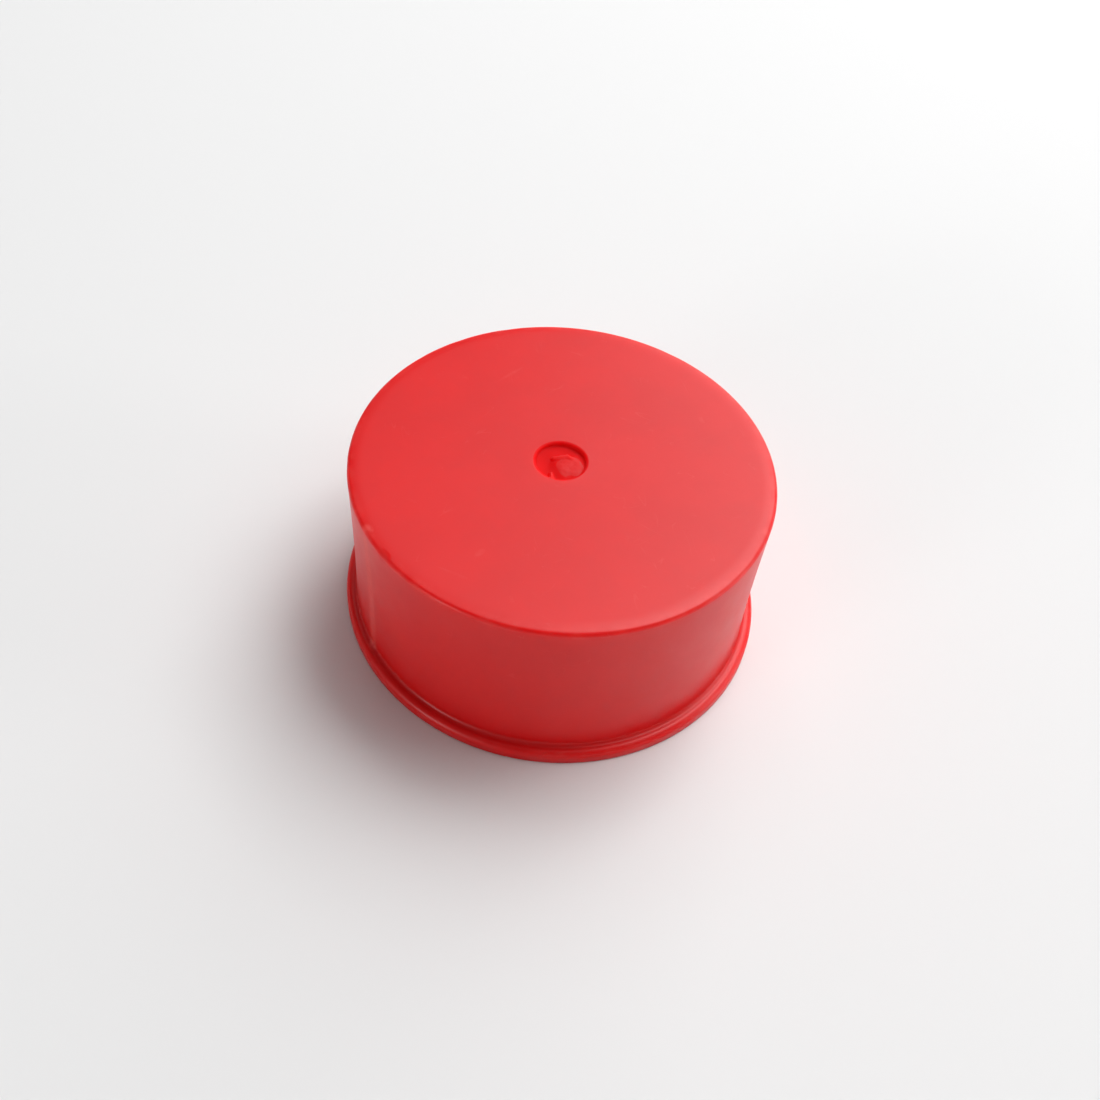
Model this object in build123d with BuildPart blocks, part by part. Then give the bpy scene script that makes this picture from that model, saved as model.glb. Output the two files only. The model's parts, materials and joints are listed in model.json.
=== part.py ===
"""Push-on end cap for a 48.3 mm round tube, moulded in one piece in soft polyethylene.

The part stands on its open mouth. +Z runs along the axis towards the closed end, and the origin
is the centre of the mouth's rim. All sizes are in millimetres.
"""

import math
import os

from build123d import *

# ---------------------------------------------------------------- driving dimensions
# The socket that goes over the tube.
tube_diameter = 48.3
socket_grip = 0.3  # how much smaller the socket is than the tube, across the diameter
mouth_lead_in = 0.8  # radius of the rounded way in
inner_corner = 0.9  # radius where the socket's wall meets its end

# The shell.
wall = 1.7
end_thickness = 1.8
height = 23.85  # from the rim to the outside of the closed end
foot_draw_in = 0.2  # how much smaller in radius the outside of the wall is at its foot than at its top
waist = 0.15  # how much further it draws in at mid-height

# The edge of the closed end turns down on a gentle crown first, and then on a tighter arc.
crown_radius = 10.0
crown_turn = 8  # degrees
top_edge_radius = 0.5

# The flange round the mouth, which stiffens it and gives a thumb something to push off with.
flange_overhang = 1.4  # from the foot of the wall
flange_thickness = 1.8
flange_edge_radius = 0.8
flange_foot_radius = 0.15
flange_root_radius = 0.55

# The recess that keeps the torn sprue below the end face, the boss under it, which keeps the end
# from being thin there, and the stub that the sprue left.
gate_diameter = 6.1
gate_depth = 0.6
gate_corner = 0.25
gate_rim_radius = 0.3
boss_margin = 1.2  # how far the boss reaches past the recess, all round
boss_height = 0.5
boss_edge_radius = 0.25
stub_base_radius = 1.2
stub_tip_radius = 0.8
stub_height = 0.35

# ---------------------------------------------------------------- sizes that follow
socket_radius = (tube_diameter - socket_grip) / 2
wall_radius = socket_radius + wall
foot_radius = wall_radius - foot_draw_in
flange_radius = foot_radius + flange_overhang
socket_depth = height - end_thickness
gate_radius = gate_diameter / 2
gate_floor = height - gate_depth
boss_radius = gate_radius + boss_margin
boss_face = socket_depth - boss_height
crown_width = (crown_radius - top_edge_radius) * math.sin(math.radians(crown_turn))
end_flat_radius = wall_radius - top_edge_radius - crown_width
wall_middle = (flange_thickness + height) / 2
waist_radius = (wall_radius + foot_radius) / 2 - waist


def circles_at(part, radius, level):
    """The round edges of this radius at this height."""
    rings = part.edges().filter_by(GeomType.CIRCLE).filter_by_position(
        Axis.Z, level - 0.001, level + 0.001
    )
    return rings.filter_by(lambda ring: abs(ring.radius - radius) < 0.001)


# ---------------------------------------------------------------- end_cap
with BuildPart() as end_cap:
    # The outside: flange, waisted wall and closed end, turned about the axis.
    with BuildSketch(Plane.XZ):
        with BuildLine():
            end_face = Line((0, height), (end_flat_radius, height))
            crown = JernArc(end_face @ 1, end_face % 1, crown_radius, -crown_turn)
            top_edge = JernArc(crown @ 1, crown % 1, top_edge_radius, crown_turn - 90)
            ThreePointArc(top_edge @ 1, (waist_radius, wall_middle), (foot_radius, flange_thickness))
            Polyline(
                (foot_radius, flange_thickness),
                (flange_radius, flange_thickness),
                (flange_radius, 0),
                (0, 0),
                (0, height),
            )
        make_face()
    revolve(axis=Axis.Z)
    fillet(circles_at(end_cap, foot_radius, flange_thickness), radius=flange_root_radius)
    fillet(circles_at(end_cap, flange_radius, flange_thickness), radius=flange_edge_radius)
    fillet(circles_at(end_cap, flange_radius, 0), radius=flange_foot_radius)

    # The socket: a straight round wall, a rounded way in and a rounded inner corner.
    with BuildSketch(Plane.XY):
        Circle(socket_radius)
    extrude(amount=socket_depth, mode=Mode.SUBTRACT)
    fillet(circles_at(end_cap, socket_radius, 0), radius=mouth_lead_in)
    fillet(circles_at(end_cap, socket_radius, socket_depth), radius=inner_corner)

    # The boss inside, under the recess.
    with BuildSketch(Plane.XY.offset(boss_face)):
        Circle(boss_radius)
    extrude(amount=boss_height)
    fillet(circles_at(end_cap, boss_radius, boss_face), radius=boss_edge_radius)

    # The recess in the middle of the closed end.
    with BuildSketch(Plane.XY.offset(gate_floor)):
        Circle(gate_radius)
    extrude(amount=gate_depth, mode=Mode.SUBTRACT)
    fillet(circles_at(end_cap, gate_radius, gate_floor), radius=gate_corner)
    fillet(circles_at(end_cap, gate_radius, height), radius=gate_rim_radius)

    # The stub of the sprue, on the floor of the recess and below the end face.
    with BuildSketch(Plane.XZ):
        Polygon(
            (0, gate_floor),
            (stub_base_radius, gate_floor),
            (stub_tip_radius, gate_floor + stub_height),
            (0, gate_floor + stub_height),
            align=None,
        )
    revolve(axis=Axis.Z)
end_cap.part.label = "end_cap"

# ---------------------------------------------------------------- output
os.makedirs("parts", exist_ok=True)
export_step(end_cap.part, "parts/end_cap.step")
print("socket radius", socket_radius, "depth", round(socket_depth, 3))
print("wall radius", wall_radius, "flange radius", round(flange_radius, 3), "height", height)
print("volume", round(end_cap.part.volume, 1), "solids", len(end_cap.part.solids()))
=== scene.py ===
# %% [markdown]
# # A push-on end cap for a tube, in soft red polyethylene
#
# The object is one injection moulding: a flat closed end, a short wall and a narrow flange round
# the open mouth, on which it stands. A CAD model of it is loaded as a fixed frame, and this script
# makes the piece that is seen: the same sizes, with the marks that moulding and handling leave.
# Blender works in metres, so the lengths below are given in millimetres times `MM`.

# %% Load the frame
import json
import math
import random

import bmesh
import bpy
from mathutils import Matrix, Vector, noise


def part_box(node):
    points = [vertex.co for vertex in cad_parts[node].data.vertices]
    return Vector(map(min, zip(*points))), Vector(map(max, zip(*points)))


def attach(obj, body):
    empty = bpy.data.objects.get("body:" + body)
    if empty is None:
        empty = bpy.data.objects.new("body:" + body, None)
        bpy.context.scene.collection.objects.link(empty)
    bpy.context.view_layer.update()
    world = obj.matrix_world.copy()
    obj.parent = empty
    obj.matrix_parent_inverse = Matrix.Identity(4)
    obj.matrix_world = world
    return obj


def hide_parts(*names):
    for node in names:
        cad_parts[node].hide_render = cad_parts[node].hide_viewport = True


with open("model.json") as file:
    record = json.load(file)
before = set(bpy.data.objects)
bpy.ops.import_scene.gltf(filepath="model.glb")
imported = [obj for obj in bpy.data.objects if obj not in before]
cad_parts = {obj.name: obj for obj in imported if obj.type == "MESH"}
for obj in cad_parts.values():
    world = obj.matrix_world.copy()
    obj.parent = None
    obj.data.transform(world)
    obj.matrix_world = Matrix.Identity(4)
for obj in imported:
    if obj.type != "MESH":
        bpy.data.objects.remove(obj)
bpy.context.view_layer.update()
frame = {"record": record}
MM = 0.001

low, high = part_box("end_cap")
flange_radius = (high.x - low.x) / 2
height = high.z - low.z
sockets = [m for m in frame["record"]["mounts"] if m["kind"] == "bore"]
socket_radius = sockets[0]["dims"]["r_mm"] * MM
print(f"flange {2 * flange_radius / MM:.1f} mm across, {height / MM:.1f} mm high")

# %% [markdown]
# ## The camera
#
# The camera comes first, so that every later choice can be looked at. It stands close to a small
# object, as a hand-held camera does, so the round end is seen in strong perspective. Its place is
# an elevation and a distance from a point on the axis, and then it's panned, tilted and rolled a
# little. Giving the pose as these few angles is easier to read and to change than a matrix. The
# lens is shifted as well, as if the picture were cut from one side of a larger frame. All of these
# numbers come from matching the cap's outline, and the shift is the least certain of them.

# %% The camera
flange_overhang = 1.2 * MM  # past the widest part of the wall
wall_radius = flange_radius - flange_overhang

camera_distance = 5.911 * wall_radius
camera_aim = Vector((0, 0, 0.4 * wall_radius))
camera_elevation = math.radians(48.72)
camera_pan = math.radians(5.10)
camera_tilt = math.radians(3.154)
camera_roll = math.radians(-6.478)
focal_length = 38.54
lens_shift = (0.0858, -0.0837)


def place_camera():
    """Adds the camera, looks at the aim point from the front, then pans, tilts and rolls."""
    away = Vector((0, -math.cos(camera_elevation), math.sin(camera_elevation)))
    facing = -away
    right = Vector((1, 0, 0))
    up = right.cross(facing)
    turn = Matrix.Rotation(camera_pan, 3, up)
    facing, right = turn @ facing, turn @ right
    turn = Matrix.Rotation(camera_tilt, 3, right)
    facing, up = turn @ facing, turn @ up
    turn = Matrix.Rotation(camera_roll, 3, facing)
    right, up = turn @ right, turn @ up

    lens = bpy.data.cameras.new("camera")
    lens.sensor_width = 36.0
    lens.lens = focal_length
    lens.shift_x, lens.shift_y = lens_shift
    lens.clip_start = 0.005
    camera = bpy.data.objects.new("camera", lens)
    bpy.context.scene.collection.objects.link(camera)
    axes = Matrix((right, up, -facing)).transposed()
    camera.matrix_world = Matrix.Translation(camera_aim + away * camera_distance) @ axes.to_4x4()
    bpy.context.scene.camera = camera
    return camera


camera = place_camera()
print("camera stands", round(camera_distance / MM), "mm from the middle of the cap")

# %% [markdown]
# ## The outline that is turned
#
# A round moulding comes from a turned mould, so its shape is one outline swept about the axis. The
# outline is a list of (radius, height) points that starts at the axis on the outside of the closed
# end, goes over the edge, down the wall, round the flange, in at the mouth, up the socket and back
# to the axis inside. Corners are true arcs, so that light rolls round them as it does on the part.
# The top edge is two of them: a gentle crown that turns the end down a few degrees, then a tight
# arc. A single arc would have to be tight all over, and would lose the soft line round the end.
# `Screw` or `Spin` could sweep it, but sweeping in code lets the steps be fine where small marks
# need them and coarse elsewhere.

# %% Sizes of the moulding
end_thickness = 1.8 * MM
crown_radius = 10.0 * MM
crown_turn = math.radians(8)
top_edge_radius = 0.5 * MM
foot_draw_in = 0.2 * MM
waist = 0.15 * MM
flange_thickness = 1.8 * MM
flange_edge_radius = 0.8 * MM
flange_foot_radius = 0.15 * MM
flange_root_radius = 0.55 * MM
mouth_lead_in = 0.8 * MM
inner_corner = 0.9 * MM
gate_radius = 3.05 * MM
gate_depth = 0.6 * MM
gate_corner = 0.25 * MM
gate_rim_radius = 0.3 * MM
boss_radius = gate_radius + 1.2 * MM
boss_height = 0.5 * MM
boss_edge_radius = 0.25 * MM

socket_depth = height - end_thickness
arc_gap = crown_radius - top_edge_radius  # how far apart the two arcs of the top edge have their centres
edge_centre = (wall_radius - top_edge_radius, height - crown_radius + arc_gap * math.cos(crown_turn))
crown_centre = (edge_centre[0] - arc_gap * math.sin(crown_turn), height - crown_radius)


def wall_at(level):
    """The outside radius of the wall at this height: smaller at the foot, and waisted."""
    drop = (edge_centre[1] - level) / (edge_centre[1] - flange_thickness)
    return wall_radius - foot_draw_in * drop - 4 * waist * drop * (1 - drop)


print(f"the flat end is {2 * crown_centre[0] / MM:.1f} mm across inside its crowned edge")


# %% Helpers that lay down the outline
def run(start, end, step):
    """Points from start to just before end, about a step apart."""
    start, end = Vector(start), Vector(end)
    count = max(1, math.ceil((end - start).length / step))
    return [start.lerp(end, i / count) for i in range(count)]


def corner(centre, radius, first, last, steps):
    """Points on an arc, from the first angle to the last, in degrees, both ends included."""
    turns = [math.radians(first + (last - first) * i / steps) for i in range(steps + 1)]
    return [Vector((centre[0] + radius * math.cos(t), centre[1] + radius * math.sin(t))) for t in turns]


# %% How closely the outline is divided
STUB_STEP = 0.075 * MM  # in the recess, where the torn stub is raised
END_STEP = 0.6 * MM  # over the closed end, which is nearly flat
KNOCK_STEP = 0.13 * MM  # next to the top edge, where knocks are pressed in
INSIDE_STEP = 1 * MM  # in the socket
WALL_STEPS = 30
print("the recess is divided every", round(STUB_STEP / MM, 3), "mm")


# %% The outline outside
def outside_outline():
    """From the middle of the gate recess over the edge and down to the rim of the mouth."""
    floor = height - gate_depth
    points = run((0.05 * MM, floor), (gate_radius - gate_corner, floor), STUB_STEP)
    points += corner((gate_radius - gate_corner, floor + gate_corner), gate_corner, -90, 0, 8)
    points += corner((gate_radius + gate_rim_radius, height - gate_rim_radius), gate_rim_radius, 180, 90, 6)
    near_edge = crown_centre[0] - 1 * MM
    points += run((gate_radius + gate_rim_radius + 0.1 * MM, height), (near_edge, height), END_STEP)
    points += run((near_edge, height), (crown_centre[0], height), KNOCK_STEP)
    turn = math.degrees(crown_turn)
    points += corner(crown_centre, crown_radius, 90, 90 - turn, 10)[:-1]
    points += corner(edge_centre, top_edge_radius, 90 - turn, 0, 12)
    root_level = flange_thickness + flange_root_radius
    drop = root_level - edge_centre[1]
    levels = [edge_centre[1] + drop * i / WALL_STEPS for i in range(1, WALL_STEPS)]
    points += [Vector((wall_at(level), level)) for level in levels]
    root_centre = wall_at(root_level) + flange_root_radius
    points += corner((root_centre, root_level), flange_root_radius, 180, 270, 8)
    outer = flange_radius - flange_edge_radius
    points += corner((outer, flange_thickness - flange_edge_radius), flange_edge_radius, 90, 0, 7)
    foot = flange_foot_radius
    points += corner((flange_radius - foot, foot), foot, 0, -90, 5)
    return points


# %% The outline inside
def inside_outline():
    """From the rim of the mouth up the socket to the middle of the boss."""
    rim_inner = socket_radius + mouth_lead_in
    points = run((flange_radius - flange_foot_radius - 0.4 * MM, 0), (rim_inner, 0), 0.5 * MM)
    points += corner((rim_inner, mouth_lead_in), mouth_lead_in, -90, -180, 8)
    wall_top = socket_depth - inner_corner
    points += run((socket_radius, mouth_lead_in + INSIDE_STEP), (socket_radius, wall_top), INSIDE_STEP)
    end_start = socket_radius - inner_corner
    points += corner((end_start, wall_top), inner_corner, 0, 90, 8)
    boss_face = socket_depth - boss_height
    points += run((end_start - INSIDE_STEP, socket_depth), (boss_radius, socket_depth), INSIDE_STEP)
    points += run((boss_radius, socket_depth), (boss_radius, boss_face + boss_edge_radius), 0.2 * MM)
    boss_centre = (boss_radius - boss_edge_radius, boss_face + boss_edge_radius)
    points += corner(boss_centre, boss_edge_radius, 0, -90, 5)
    points += run((boss_centre[0] - 0.4 * MM, boss_face), (0.3 * MM, boss_face), 0.5 * MM)
    return points


outline = outside_outline()
outside_count = len(outline)
outline += inside_outline()
print(len(outline), "points in the outline,", outside_count, "of them outside")

# %% [markdown]
# ## Sweeping the outline
#
# Each outline point becomes a ring of vertices and neighbouring rings are joined by quads, with a
# small fan at each end of the axis. The rings needn't be evenly divided. Two knocks sit close
# together on the top edge, so the steps are fine in that sector and coarser in the rest, which
# keeps the mesh light and still lets a knock half a millimetre wide have a real shape.

# %% Steps round the axis
COARSE_STEP = 1.5
FINE_STEP = 0.3
knocked_sector = (-152, -126)  # degrees round the axis, counted from +X


def steps_round():
    """Angles in radians, fine inside the knocked sector and coarse outside it."""
    first, last = knocked_sector
    fine_count = round((last - first) / FINE_STEP)
    fine = [first + (last - first) * i / fine_count for i in range(fine_count)]
    coarse_count = round((360 - last + first) / COARSE_STEP)
    coarse = [last + (360 - last + first) * i / coarse_count for i in range(coarse_count)]
    return [math.radians(a) for a in fine + coarse]


turns = steps_round()
print(len(turns), "steps round the axis")


# %% Sweep the outline
def sweep(points, angles):
    """A closed bmesh of rings and quads, and its vertices ring by ring."""
    mesh = bmesh.new()
    rings = []
    for radius, level in points:
        places = [(radius * math.cos(a), radius * math.sin(a), level) for a in angles]
        rings.append([mesh.verts.new(place) for place in places])
    count = len(angles)
    for upper, lower in zip(rings, rings[1:]):
        for i in range(count):
            j = (i + 1) % count
            mesh.faces.new((upper[i], lower[i], lower[j], upper[j]))
    for ring in (rings[0], rings[-1]):
        middle = mesh.verts.new((0, 0, ring[0].co.z))
        for i in range(count):
            mesh.faces.new((middle, ring[i], ring[(i + 1) % count]))
    bmesh.ops.recalc_face_normals(mesh, faces=mesh.faces)
    mesh.normal_update()
    return mesh, rings


shell, rings = sweep(outline, turns)
print(len(shell.faces), "faces in the swept shell")

# %% [markdown]
# ## What moulding and handling did to it
#
# A perfect turned shape looks like plastic in a computer, not in the hand. Four real things are
# added as small moves of the vertices. The closed end sank a little as it cooled, and stays a little
# proud round the gate. The mouth is slightly out of round, because the cap is soft. The sprue was
# torn off, which left a ragged stub in the recess. And the edge of the closed end has been knocked.
#
# All four fade out smoothly, so two small functions for fading come first, and one for distance.

# %% Fading and distance
def fall(distance, width):
    """1 at no distance, 0 from width outwards, smooth at both ends."""
    share = min(max(distance / width, 0), 1)
    return 1 - share * share * (3 - 2 * share)


def step_up(value, start, end):
    """0 before start, 1 after end, smooth between."""
    return 1 - fall(value - start, end - start)


def from_line(point, start, end):
    """How far a point is from a line, and how far along the line the nearest place is, 0 to 1."""
    along = end - start
    share = min(max((point - start).dot(along) / along.length_squared, 0), 1)
    return (point - start - along * share).length, share


# %% [markdown]
# ### Sunk end, oval mouth
#
# Thick plastic shrinks after the skin has set, so the middle of the end sinks by about a tenth of a
# millimetre, less round the gate, where the pressure was held longest. The ovality grows from the
# closed end, which is stiff, to the mouth, which is not.

# %% Sunk end, oval mouth
sink = 0.09 * MM
gate_swell = 0.05 * MM
gate_swell_reach = 7.5 * MM
outside_of_end = 0.9 * MM  # above this depth the whole sink is felt
inside_of_end = 2.6 * MM  # and below this one, none of it
out_of_round = 0.004
long_axis = math.radians(-50)
stiff_share = 0.1  # how much of the ovality the closed end still shows


def settle(co):
    """Moves one vertex of the shell as cooling and storage moved it."""
    radius = math.hypot(co.x, co.y)
    on_end = step_up(co.z, height - inside_of_end, height - outside_of_end)
    lift = gate_swell * fall(radius, gate_swell_reach) - sink * fall(radius, wall_radius)
    co.z += on_end * lift
    towards_mouth = 1 - co.z / height
    angle = math.atan2(co.y, co.x)
    stretch = 1 + out_of_round * (stiff_share + towards_mouth) * math.cos(2 * (angle - long_axis))
    co.x *= stretch
    co.y *= stretch


for vert in shell.verts:
    settle(vert.co)
print(f"the end sinks {sink / MM:.2f} mm, and the mouth is {100 * out_of_round:.1f} % out of round")

# %% [markdown]
# ### The torn stub
#
# When the mould opens, the thin sprue tears off in the recess. The tear goes deeper on one side
# and leaves a low plateau on the other, with a thin flake standing along it and a tongue that was
# dragged to the rim. The steps of the outline are fine here, so all of this can be a height added
# to the floor of the recess, which is simpler than joining a separate lump of mesh and can't
# leave a crack.

# %% The torn stub
hollow_middle = Vector((-1.75, -0.35)) * MM
hollow_reach = 2.6 * MM
hollow_depth = 0.15 * MM
plateau_middle = Vector((1.15, -0.50)) * MM
plateau_radius = 1.75 * MM
plateau_flank = 1.9 * MM
plateau_height = 0.25 * MM
flake_path = [Vector((-0.95, 0.66)) * MM, Vector((0.70, 1.17)) * MM, Vector((1.45, 0.68)) * MM]
flake_height = 0.09 * MM
flake_width = 0.40 * MM
tongue_root = Vector((-0.82, -2.95)) * MM
tongue_tip = Vector((-1.02, -1.85)) * MM
tongue_width = 0.55 * MM
tongue_height = 0.48 * MM
tears_per_mm = 0.8  # the large wobble of its outline
fibres_per_mm = 2.2  # the fine one on its top


def stub_height(x, y):
    """How far the torn plastic stands above the floor of the recess at this place."""
    here = Vector((x, y))
    ragged = noise.noise(Vector((x, y, 0)) * (tears_per_mm / MM))
    fine = noise.noise(Vector((x, y, 5 * MM)) * (fibres_per_mm / MM))
    hollow = -hollow_depth * fall((here - hollow_middle).length, hollow_reach)
    from_middle = (here - plateau_middle).length + 0.35 * MM * ragged
    share = fall(from_middle - plateau_radius + plateau_flank / 2, plateau_flank)
    lift = hollow + (plateau_height * (1 + 0.08 * fine) - hollow) * share
    for start, end in zip(flake_path, flake_path[1:]):
        distance, _ = from_line(here, start, end)
        flake = plateau_height + flake_height * (1 + 0.5 * ragged)
        lift = max(lift, lift + (flake - lift) * fall(distance, flake_width))
    distance, along = from_line(here, tongue_root, tongue_tip)
    near = fall(distance, tongue_width * (1 - 0.3 * along))
    return max(lift, lift + (tongue_height * (1 - 0.5 * along) - lift) * near)


def raise_stub(ring_list):
    """Moves the vertices inside the recess, less as they climb its wall."""
    for ring in ring_list:
        for vert in ring:
            above_floor = vert.co.z - (height - gate_depth)
            room = max(0, 1 - above_floor / gate_depth)
            vert.co.z += stub_height(vert.co.x, vert.co.y) * room


gate_rings = [r for r in rings[:outside_count] if r[0].co.xy.length < gate_radius + gate_rim_radius]
raise_stub(gate_rings)
print(len(gate_rings), "rings in the recess carry the stub")

# %% [markdown]
# ### Knocks on the edge
#
# A knock on soft plastic pushes a small hollow into the edge and raises a lip beside it. Each one
# has a place round the axis, a place round the edge's arc, a size along and across, and a depth.
# The pair that shows is where it is on the real cap, on the left of the front. A few faint ones,
# drawn with a fixed seed, are spread round the rest of the edge, so that no side is perfect.

# %% One knock
def knock(mesh, middle, along, length, width, depth, lip):
    """Presses a hollow into the surface round a point, and raises a lip on its far side."""
    along = along.normalized()
    reach = 1.6 * max(length, width)
    for vert in mesh.verts:
        offset = vert.co - middle
        if offset.length > reach:
            continue
        forward = offset.dot(along)
        sideways = (offset - along * forward).length
        hollow = fall(math.hypot(forward / length, sideways / width), 1)
        raised = fall(math.hypot((forward - 0.9 * length) / (0.5 * length), sideways / (0.9 * width)), 1)
        vert.co += vert.normal * (lip * raised - depth * hollow)


# %% Places on the edge
def edge_point(azimuth, round_edge):
    """A point on the edge of the closed end: round_edge is 0 on the wall and 90 on the flat end."""
    a, e = math.radians(azimuth), math.radians(round_edge)
    tight = math.pi / 2 - e > crown_turn
    centre, arc = (edge_centre, top_edge_radius) if tight else (crown_centre, crown_radius)
    radius = centre[0] + arc * math.cos(e)
    return Vector((radius * math.cos(a), radius * math.sin(a), centre[1] + arc * math.sin(e)))


def edge_direction(azimuth):
    """The way along the edge at this place, anticlockwise from above."""
    a = math.radians(azimuth)
    return Vector((-math.sin(a), math.cos(a), 0))


# %% Knock the edge
knock_height = 60  # where round the edge's arc, in degrees
clear_knocks = [  # place round the axis in degrees, and length, width and depth in millimetres
    (-144.8, 0.75, 0.62, 0.05),
    (-136.4, 1.25, 0.70, 0.15),
]
clear_lip = 0.02 * MM
for azimuth, length, width, depth in clear_knocks:
    place = edge_point(azimuth, knock_height)
    knock(shell, place, edge_direction(azimuth), length * MM, width * MM, depth * MM, clear_lip)

faint_count = 5
chance = random.Random(48)
for _ in range(faint_count):
    azimuth = chance.uniform(-110, 200)
    depth = chance.uniform(0.02, 0.05) * MM
    place = edge_point(azimuth, knock_height)
    knock(shell, place, edge_direction(azimuth), 1.6 * MM, 0.9 * MM, depth, depth / 4)
shell.normal_update()
print(len(clear_knocks), "clear knocks and", faint_count, "faint ones")

# %% [markdown]
# ### One object with four finishes
#
# It is one moulding, so it stays one object. The parts of the mould that shaped it left different
# skins, so each face is given a finish by where it is, with the same sizes that shaped it.

# %% Make the object
TORN, GATE, OUTSIDE, INSIDE = 0, 1, 2, 3  # the places of its four finishes
torn_share = 0.6  # the stub looks torn from this share of its plateau's height up


def finish_of(face):
    """Which of the four finishes a face has, from where it is."""
    middle = face.calc_center_median()
    radius = middle.xy.length
    if middle.z > socket_depth and radius < gate_radius + gate_rim_radius:
        on_stub = stub_height(middle.x, middle.y) > torn_share * plateau_height
        return TORN if on_stub else GATE
    inside = radius < socket_radius + 0.3 * MM and middle.z < socket_depth + 0.01 * MM
    return INSIDE if inside else OUTSIDE


for face in shell.faces:
    face.smooth = True
    face.material_index = finish_of(face)

cap_mesh = bpy.data.meshes.new("end_cap_moulding")
shell.to_mesh(cap_mesh)
shell.free()
cap = bpy.data.objects.new("end_cap_moulding", cap_mesh)
bpy.context.scene.collection.objects.link(cap)
print(len(cap_mesh.vertices), "vertices,", len(cap_mesh.polygons), "faces")

# %% [markdown]
# ## The plastic
#
# Soft polyethylene is coloured right through, and comes out of a fine-blasted mould with a satin
# skin: a broad, blurred highlight on a very saturated red. One Principled BSDF gives that. What
# keeps it from looking like flat paint is small: a fine grain, clouds where the pigment mixed
# unevenly, hairline scratches, scuffs, edges rubbed paler, and one painted highlight by a knock on
# the edge. The four finishes (outside, inside, recess and torn stub) share these effects, so each
# effect is a node group with named sockets.
#
# Node trees are long to write link by link. Four helpers come first: one opens a group, one adds a
# node and links whatever sockets it's given, and two stand for the nodes that are used most.

# %% Helpers for node trees
FLOAT, PLACE = "NodeSocketFloat", "NodeSocketVector"


def add_group(name, inputs, outputs):
    """A shader node group with the sockets listed, and its input and output nodes."""
    group = bpy.data.node_groups.new(name, "ShaderNodeTree")
    for label, kind, value in inputs:
        socket = group.interface.new_socket(label, in_out="INPUT", socket_type=kind)
        if value is not None:
            socket.default_value = value
    for label, kind in outputs:
        group.interface.new_socket(label, in_out="OUTPUT", socket_type=kind)
    return group, group.nodes.new("NodeGroupInput"), group.nodes.new("NodeGroupOutput")


def node(tree, kind, values=None, **settings):
    """A node with its settings and its sockets' values; a socket given a socket is linked to it."""
    made = tree.nodes.new(kind)
    for name, value in settings.items():
        setattr(made, name, value)
    for name, value in (values or {}).items():
        if isinstance(value, bpy.types.NodeSocket):
            tree.links.new(value, made.inputs[name])
        else:
            made.inputs[name].default_value = value
    return made


def maths(tree, operation, first, second=0.0, clamp=False):
    """The output of one Math node."""
    values = {0: first, 1: second}
    return node(tree, "ShaderNodeMath", values, operation=operation, use_clamp=clamp).outputs[0]


def remap(tree, value, start, end, low_out=0.0, high_out=1.0):
    """value from start..end to low_out..high_out, smooth and clamped."""
    values = {"Value": value, "From Min": start, "From Max": end, "To Min": low_out, "To Max": high_out}
    return node(tree, "ShaderNodeMapRange", values, interpolation_type="SMOOTHSTEP").outputs["Result"]


# %% [markdown]
# ### Grain
#
# The mould's blasted steel leaves a grain of shallow pits about a tenth of a millimetre apart,
# with a slower unevenness under it where the skin froze at different times. The group gives a
# height for a Bump node and a value that moves the roughness a little with it.

# %% Group: moulded grain
def grain_group():
    """Fine pits and slow unevenness of a moulded skin."""
    group, given, out = add_group(
        "moulded grain",
        [("Place", PLACE, None), ("Pit Size", FLOAT, 0.12), ("Slow Size", FLOAT, 3.0)],
        [("Height", FLOAT), ("Gloss Change", FLOAT)],
    )
    per_pit = maths(group, "DIVIDE", 1000, given.outputs["Pit Size"])
    per_slow = maths(group, "DIVIDE", 1000, given.outputs["Slow Size"])
    place = given.outputs["Place"]
    pits = node(group, "ShaderNodeTexNoise", {"Vector": place, "Scale": per_pit, "Detail": 2.0})
    slow = node(group, "ShaderNodeTexNoise", {"Vector": place, "Scale": per_slow, "Detail": 3.0})
    slow_height = maths(group, "MULTIPLY", slow.outputs["Fac"], 0.8)
    group.links.new(maths(group, "ADD", pits.outputs["Fac"], slow_height), out.inputs["Height"])
    group.links.new(maths(group, "SUBTRACT", slow.outputs["Fac"], 0.5), out.inputs["Gloss Change"])
    return group


# %% [markdown]
# ### Pigment clouds
#
# Pigment is stirred into clear granules, so a moulding is never one exact colour. It is a few
# percent lighter and darker in soft clouds that are drawn out along the way the plastic flowed,
# which in a centre-gated cap is straight out from the gate.

# %% Group: pigment clouds
def clouds_group():
    """A slow light and dark value, drawn out along the flow from the gate."""
    group, given, out = add_group(
        "pigment clouds",
        [("Place", PLACE, None), ("Size", FLOAT, 9.0), ("Streaks", FLOAT, 0.5)],
        [("Shade", FLOAT)],
    )
    place = given.outputs["Place"]
    per_cloud = maths(group, "DIVIDE", 1000, given.outputs["Size"])
    soft = node(group, "ShaderNodeTexNoise", {"Vector": place, "Scale": per_cloud, "Detail": 3.0})
    direction = node(group, "ShaderNodeVectorMath", {0: place}, operation="NORMALIZE")
    rays = node(group, "ShaderNodeTexNoise", {"Vector": direction.outputs[0], "Scale": 9.0, "Detail": 4.0})
    streaks = maths(group, "MULTIPLY", rays.outputs["Fac"], given.outputs["Streaks"])
    both = maths(group, "ADD", soft.outputs["Fac"], streaks)
    total = maths(group, "ADD", 1.0, given.outputs["Streaks"])
    group.links.new(maths(group, "DIVIDE", both, total), out.inputs["Shade"])
    return group


# %% [markdown]
# ### Hairline scratches
#
# Caps travel loose in a bag and scratch each other. A scratch is long and very thin, so a noise
# texture is stretched along one direction until its contours are nearly parallel lines, and only
# a thin band of its values is kept. A second, slower noise breaks the lines into short pieces.
# Three directions laid over each other don't look like brushing.

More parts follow.
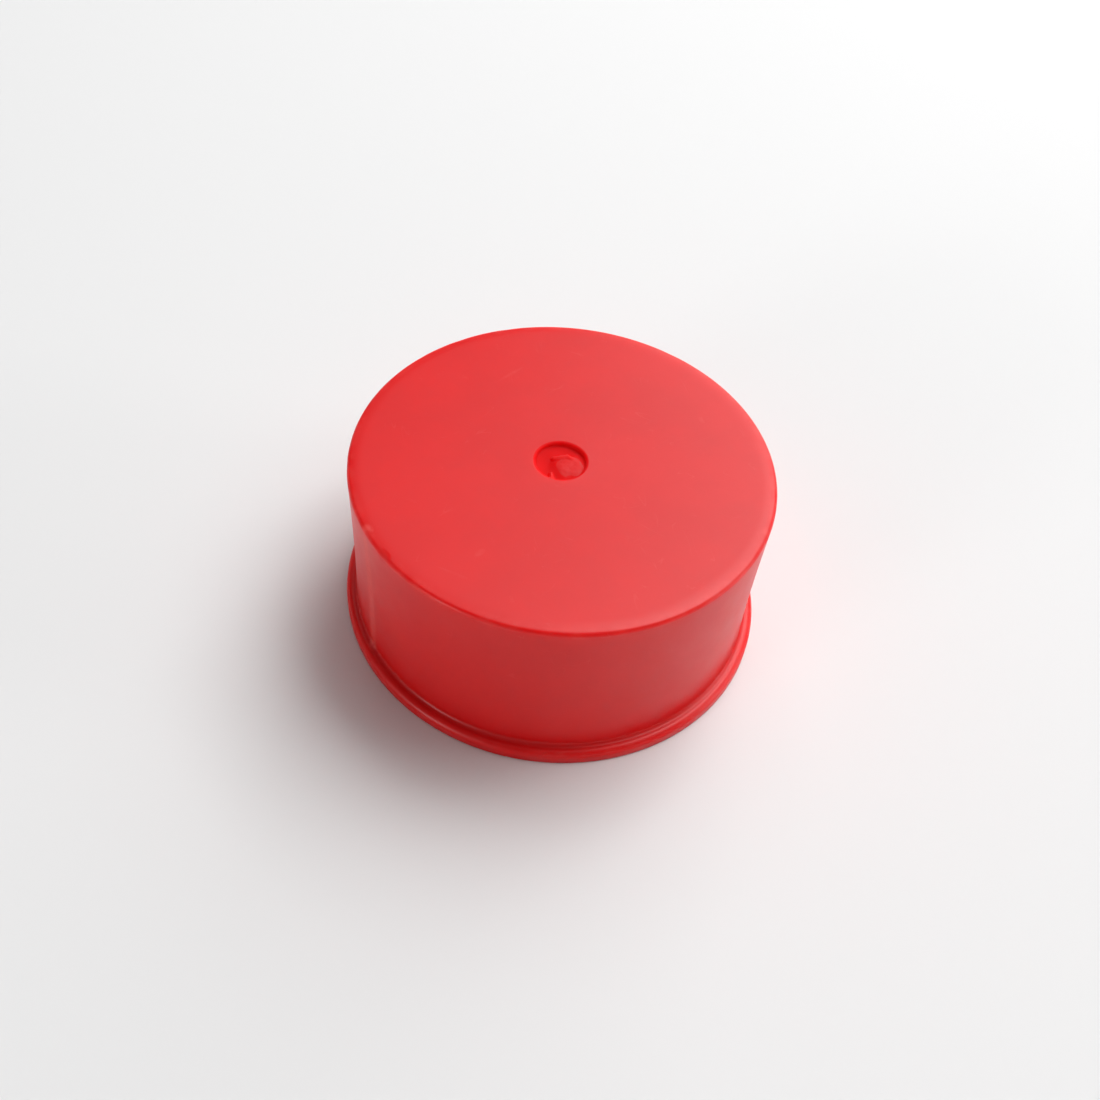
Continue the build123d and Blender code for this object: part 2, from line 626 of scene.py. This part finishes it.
# %% Group: hairline scratches
def scratches_group():
    """A mask of short thin scratches in three directions."""
    group, given, out = add_group(
        "hairline scratches",
        [("Place", PLACE, None), ("Spacing", FLOAT, 1.6), ("Amount", FLOAT, 0.5)],
        [("Mask", FLOAT)],
    )
    per_line = maths(group, "DIVIDE", 1000, given.outputs["Spacing"])
    total = 0.0
    for i, turn in enumerate((0.35, 1.30, 2.45)):
        turning = {"Vector": given.outputs["Place"], "Rotation": (0.2, 0.3 * i, turn)}
        turned = node(group, "ShaderNodeMapping", turning).outputs[0]
        stretching = {0: turned, 1: (0.06, 1.0, 0.5)}
        stretched = node(group, "ShaderNodeVectorMath", stretching, operation="MULTIPLY").outputs[0]
        lines = node(group, "ShaderNodeTexNoise", {"Vector": stretched, "Scale": per_line, "Detail": 1.0})
        off_line = maths(group, "ABSOLUTE", maths(group, "SUBTRACT", lines.outputs["Fac"], 0.5))
        thin = remap(group, off_line, 0.0, 0.006, 1.0, 0.0)
        cutting = {"Vector": turned, "Scale": 260 + 40 * i, "Detail": 1.0}
        pieces = node(group, "ShaderNodeTexNoise", cutting)
        kept = remap(group, pieces.outputs["Fac"], 0.56, 0.68)
        total = maths(group, "MAXIMUM", total, maths(group, "MULTIPLY", thin, kept))
    group.links.new(maths(group, "MULTIPLY", total, given.outputs["Amount"]), out.inputs["Mask"])
    return group


# %% [markdown]
# ### Rubbed edges
#
# An edge that meets tables and other caps first is rubbed paler and a little duller. On a turned
# part an edge is a circle, so the distance from that circle, in radius and height, says exactly
# where the rubbing is, and a noise makes it patchy.

# %% Group: rubbed edge
def rub_group():
    """A patchy mask round a circle of a given radius and height, in millimetres."""
    group, given, out = add_group(
        "rubbed edge",
        [("Place", PLACE, None), ("Radius", FLOAT, 25.0), ("Level", FLOAT, 24.0), ("Width", FLOAT, 0.8)],
        [("Mask", FLOAT)],
    )
    split = node(group, "ShaderNodeSeparateXYZ", {0: given.outputs["Place"]})
    x, y = split.outputs["X"], split.outputs["Y"]
    squares = maths(group, "ADD", maths(group, "MULTIPLY", x, x), maths(group, "MULTIPLY", y, y))
    radius = maths(group, "MULTIPLY", maths(group, "SQRT", squares), 1000.0)
    level = maths(group, "MULTIPLY", split.outputs["Z"], 1000.0)
    out_by = maths(group, "SUBTRACT", radius, given.outputs["Radius"])
    up_by = maths(group, "SUBTRACT", level, given.outputs["Level"])
    out_squared = maths(group, "MULTIPLY", out_by, out_by)
    square = maths(group, "ADD", out_squared, maths(group, "MULTIPLY", up_by, up_by))
    distance = maths(group, "DIVIDE", maths(group, "SQRT", square), given.outputs["Width"])
    near = remap(group, distance, 0.2, 1.0, 1.0, 0.0)
    patching = {"Vector": given.outputs["Place"], "Scale": 420.0, "Detail": 4.0}
    patches = node(group, "ShaderNodeTexNoise", patching)
    patchy = remap(group, patches.outputs["Fac"], 0.38, 0.68)
    group.links.new(maths(group, "MULTIPLY", near, patchy), out.inputs["Mask"])
    return group


# %% [markdown]
# ### Scuffs
#
# A scuff is where something once slid over the skin and left it paler. It has a place, a length, a
# width and a direction, and it fades at its ends, so it is a stretched round spot broken by a noise.
# The same spot, in the same paler red, also paints one highlight: the lit side of a knock on the edge.

# %% Group: scuff
def scuff_and_glint_spot_group():
    """A soft, broken, stretched spot round a point; Turn is its direction, in radians from +X."""
    sizes = [("Turn", FLOAT, 0.0), ("Length", FLOAT, 2.0), ("Width", FLOAT, 0.5)]
    group, given, out = add_group(
        "scuff_and_glint_spot",
        [("Place", PLACE, None), ("Middle", PLACE, None), *sizes],
        [("Mask", FLOAT)],
    )
    ends = {0: given.outputs["Place"], 1: given.outputs["Middle"]}
    offset = node(group, "ShaderNodeVectorMath", ends, operation="SUBTRACT")
    back = maths(group, "MULTIPLY", given.outputs["Turn"], -1.0)
    turning = {"Vector": offset.outputs[0], "Angle": back}
    turned = node(group, "ShaderNodeVectorRotate", turning, rotation_type="Z_AXIS")
    split = node(group, "ShaderNodeSeparateXYZ", {0: turned.outputs[0]})
    along_mm = maths(group, "MULTIPLY", split.outputs["X"], 1000.0)
    across_mm = maths(group, "MULTIPLY", split.outputs["Y"], 1000.0)
    along = maths(group, "DIVIDE", along_mm, given.outputs["Length"])
    across = maths(group, "DIVIDE", across_mm, given.outputs["Width"])
    along_squared = maths(group, "MULTIPLY", along, along)
    squares = maths(group, "ADD", along_squared, maths(group, "MULTIPLY", across, across))
    near = remap(group, squares, 0.0, 1.0, 1.0, 0.0)
    breaking = {"Vector": given.outputs["Place"], "Scale": 1500.0, "Detail": 2.0}
    broken = node(group, "ShaderNodeTexNoise", breaking)
    patchy = remap(group, broken.outputs["Fac"], 0.3, 0.6, 0.35, 1.0)
    group.links.new(maths(group, "MULTIPLY", near, patchy), out.inputs["Mask"])
    return group


# %% Make the groups
grain, clouds, scratches = grain_group(), clouds_group(), scratches_group()
rub, scuff_and_glint_spot = rub_group(), scuff_and_glint_spot_group()
print("groups:", ", ".join(g.name for g in (grain, clouds, scratches, rub, scuff_and_glint_spot)))

# %% [markdown]
# ### The four finishes
#
# The outside is satin. The inside is the mould's core, which is turned and only roughly polished,
# so it's a little duller. The recess is made by the gate's own insert, which is spark-eroded and
# leaves the plastic matt: with hardly any shine over it, its red looks deeper. Its base red is also
# painted a little lighter than the outside's, as painted light that offsets the shade in the recess.
# The torn stub is paler, partly because plastic whitens where it is stretched and partly as a painted
# sheen that stands in for the shine it is not given. They differ in a few numbers, so one function
# makes all four, and two smaller ones help it.

# %% An effect in a material
def effect(tree, place, group, **values):
    """The outputs of an effect's group, placed in a material with its values set."""
    named = {label.replace("_", " "): value for label, value in values.items()}
    return node(tree, "ShaderNodeGroup", {"Place": place, **named}, node_tree=group).outputs


# %% [markdown]
# Wear shows as one mask: rubbed edges, scratches and scuffs all lay bare the same paler plastic, so
# the strongest of them wins at each place. One spot in the list of scuffs is a painted highlight in
# that paler red, not wear. The two edges that rub are the top edge and the flange.

# %% Wear, and a painted highlight
top_edge = {"Radius": wall_radius / MM - 0.45, "Level": height / MM - 0.45, "Width": 0.9}
flange_edge = {"Radius": flange_radius / MM - 0.1, "Level": flange_thickness / MM - 0.1, "Width": 0.5}


def wear_and_glint_mask(tree, place, scratched, rubbed, scuffs_and_glint):
    """A mask of rubbed edges, hairline scratches, scuffs and one painted highlight together."""
    edges = [effect(tree, place, rub, **edge)["Mask"] for edge in (top_edge, flange_edge)]
    worn = maths(tree, "MULTIPLY", maths(tree, "MAXIMUM", *edges), rubbed)
    lines = effect(tree, place, scratches, Spacing=1.6, Amount=scratched)["Mask"]
    wear_and_glint_marks = maths(tree, "MAXIMUM", worn, lines, clamp=True)
    for middle, turn, length, width, strength in scuffs_and_glint:
        mark = effect(tree, place, scuff_and_glint_spot, Middle=middle, Turn=turn, Length=length, Width=width)["Mask"]
        wear_and_glint_marks = maths(tree, "MAXIMUM", wear_and_glint_marks, maths(tree, "MULTIPLY", mark, strength))
    return wear_and_glint_marks


# %% [markdown]
# Soft polyethylene is cloudy: light goes in, is scattered, and comes out a little way off. The
# pigment swallows green and blue at once, so only red travels any distance. That softens the
# shading on the small round edges and in the recess.

# %% The plastic
polyethylene_ior = 1.51
light_travel = 2.0 * MM
travel_by_colour = (1.0, 0.05, 0.04)
# the paler red of rubbed plastic, and also the colour of one painted highlight
rubbed_and_glint_red = (0.80, 0.09, 0.08)


def plastic(name, red, roughness, bump, pit_size, shine=0.32, scratched=0.0, rubbed=0.0, scuffs_and_glint=()):
    """A red polyethylene finish; scratched, rubbed and the list of scuffs say how worn it is, and that list
    also holds a painted highlight.
    """
    material = bpy.data.materials.new(name)
    material.use_nodes = True
    tree = material.node_tree
    shader = tree.nodes["Principled BSDF"]
    shader.inputs["IOR"].default_value = polyethylene_ior
    shader.inputs["Specular IOR Level"].default_value = shine
    shader.inputs["Subsurface Weight"].default_value = 1.0
    shader.inputs["Subsurface Radius"].default_value = travel_by_colour
    shader.inputs["Subsurface Scale"].default_value = light_travel
    place = node(tree, "ShaderNodeTexCoord").outputs["Object"]

    cloud = effect(tree, place, clouds, Size=9.0, Streaks=0.35)["Shade"]
    light = remap(tree, cloud, 0.35, 0.65, 0.975, 1.025)
    tinted = node(tree, "ShaderNodeVectorMath", {0: red, "Scale": light}, operation="SCALE").outputs[0]
    wear_and_glint_marks = wear_and_glint_mask(tree, place, scratched, rubbed, scuffs_and_glint)
    colour = node(tree, "ShaderNodeMix", {0: wear_and_glint_marks, 6: tinted, 7: (*rubbed_and_glint_red, 1)}, data_type="RGBA")
    tree.links.new(colour.outputs[2], shader.inputs["Base Color"])

    skin = effect(tree, place, grain, Pit_Size=pit_size, Slow_Size=3.0)
    uneven = maths(tree, "MULTIPLY", skin["Gloss Change"], 0.10)
    dulled = maths(tree, "MULTIPLY", wear_and_glint_marks, 0.12)
    total = maths(tree, "ADD", maths(tree, "ADD", uneven, dulled), roughness, clamp=True)
    tree.links.new(total, shader.inputs["Roughness"])
    feel = {"Height": skin["Height"], "Distance": 0.01 * MM, "Strength": bump}
    tree.links.new(node(tree, "ShaderNodeBump", feel).outputs["Normal"], shader.inputs["Normal"])
    return material


# %% The finishes
saturated_red = (0.70, 0.0048, 0.0056)
# lighter than saturated_red: painted light against the shade inside the recess
recess_red_painted_lighter = (0.74, 0.0050, 0.0064)
# paler partly from stress whitening and partly as a painted sheen, in place of the shine this finish lacks
torn_red_with_painted_sheen = (0.70, 0.018, 0.019)
top = height - 0.05 * MM
outside_scuffs_and_glint = [  # middle, turn, length and width in mm, strength
    # The first spot is no scuff: it is a painted highlight, the pale lit side of the knock at -144.8
    # degrees.
    (edge_point(-145.5, 78), math.radians(-55), 1.1, 0.8, 0.75),
    (Vector((-7.8 * MM, -15.8 * MM, top)), math.radians(50), 0.9, 0.45, 0.22),
    (Vector((-7.6 * MM, 14.7 * MM, top)), math.radians(48), 2.4, 0.30, 0.18),
]
outside_wear_and_glint = {"scratched": 0.14, "rubbed": 0.25, "scuffs_and_glint": outside_scuffs_and_glint}
finishes = [
    plastic("torn_stub", torn_red_with_painted_sheen, roughness=0.50, bump=0.5, pit_size=0.20, shine=0.12),
    plastic("matte_gate", recess_red_painted_lighter, roughness=0.65, bump=0.5, pit_size=0.20, shine=0.08),
    plastic("satin_outside", saturated_red, roughness=0.36, bump=0.3, pit_size=0.12, **outside_wear_and_glint),
    plastic("turned_inside", saturated_red, roughness=0.44, bump=0.4, pit_size=0.16, scratched=0.25),
]
for finish in finishes:
    cap_mesh.materials.append(finish)
print([m.name for m in cap_mesh.materials])

# %% [markdown]
# ## The stage
#
# A plain pale floor, and soft lights all round a small tent. The key stands high behind the cap on
# its right, with broad weaker lights beside it, because a satin top mirrors what is behind it: these
# give the top its pale bloom, which fades to the left. The wall faces the floor and mirrors that:
# grey-pink where the floor is lit, deep red where it is in the cap's own shadow. Two low, narrow
# lights fill the wall from the sides without lighting the flange, which faces up. The powers aren't
# round numbers, because they come from shading the cap with each light alone and looking for the
# mix that matched best. The sky is brighter near the horizon, as the sides of a tent are.

# %% Floor
def make_floor():
    """A large square plane that the rim stands on, painted plain white."""
    mesh = bpy.data.meshes.new("floor")
    half = 4.0  # metres
    corners = [(-half, -half, 0), (half, -half, 0), (half, half, 0), (-half, half, 0)]
    mesh.from_pydata(corners, [], [(0, 1, 2, 3)])
    floor = bpy.data.objects.new("floor", mesh)
    bpy.context.scene.collection.objects.link(floor)
    white = bpy.data.materials.new("floor_white")
    white.use_nodes = True
    shader = white.node_tree.nodes["Principled BSDF"]
    shader.inputs["Base Color"].default_value = (0.78, 0.78, 0.78, 1)
    shader.inputs["Roughness"].default_value = 0.9
    mesh.materials.append(white)


make_floor()
print(len(bpy.data.materials), "materials with the floor's")


# %% Lights
def soft_light(name, azimuth, elevation, distance, size, power):
    """A square soft light that looks at the cap; azimuth 0 is +X and 90 is straight behind."""
    lamp = bpy.data.lights.new(name, "AREA")
    lamp.size = size
    lamp.energy = power
    a, e = math.radians(azimuth), math.radians(elevation)
    away = Vector((math.cos(a) * math.cos(e), math.sin(a) * math.cos(e), math.sin(e)))
    light = bpy.data.objects.new(name, lamp)
    light.location = away * distance
    light.rotation_mode = "QUATERNION"
    light.rotation_quaternion = away.to_track_quat("Z", "Y")
    bpy.context.scene.collection.objects.link(light)


BIG, NARROW = 0.9, 0.4  # the width of a light, in metres
LIGHTS = [
    ("key", 45, 58, BIG, 14.7),
    ("back", 67.5, 28, BIG, 6.5),
    ("top_back", 90, 58, BIG, 4.0),
    ("top_right", 0, 58, BIG, 3.6),
    ("right", 22.5, 28, BIG, 1.8),
    ("overhead", 0, 90, BIG, 0.5),
    ("low_right", 0, 10, NARROW, 3.6),
    ("low_left", 225, 10, NARROW, 4.9),
]
light_distance = 1.5  # metres
for name, azimuth, elevation, size, power in LIGHTS:
    soft_light(name, azimuth, elevation, light_distance, size, power)
print(len(LIGHTS), "lights,", round(sum(light[-1] for light in LIGHTS), 1), "W together")

# %% Sky
overhead_sky, horizon_sky = 0.09, 0.45
sky = bpy.data.worlds.new("sky")
sky.use_nodes = True
direction = node(sky.node_tree, "ShaderNodeTexCoord").outputs["Generated"]
upward = node(sky.node_tree, "ShaderNodeSeparateXYZ", {0: direction}).outputs["Z"]
band = (math.sin(math.radians(10)), math.sin(math.radians(24)))  # where the side turns into the roof
brightness = remap(sky.node_tree, upward, *band, horizon_sky, overhead_sky)
background = sky.node_tree.nodes["Background"]
background.inputs["Color"].default_value = (1, 1, 1, 1)
sky.node_tree.links.new(brightness, background.inputs["Strength"])
bpy.context.scene.world = sky
bpy.context.scene.view_settings.view_transform = "Standard"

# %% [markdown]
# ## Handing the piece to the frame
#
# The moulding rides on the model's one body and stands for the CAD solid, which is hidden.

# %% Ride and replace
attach(cap, "root")
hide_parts("end_cap")

bpy.context.view_layer.update()
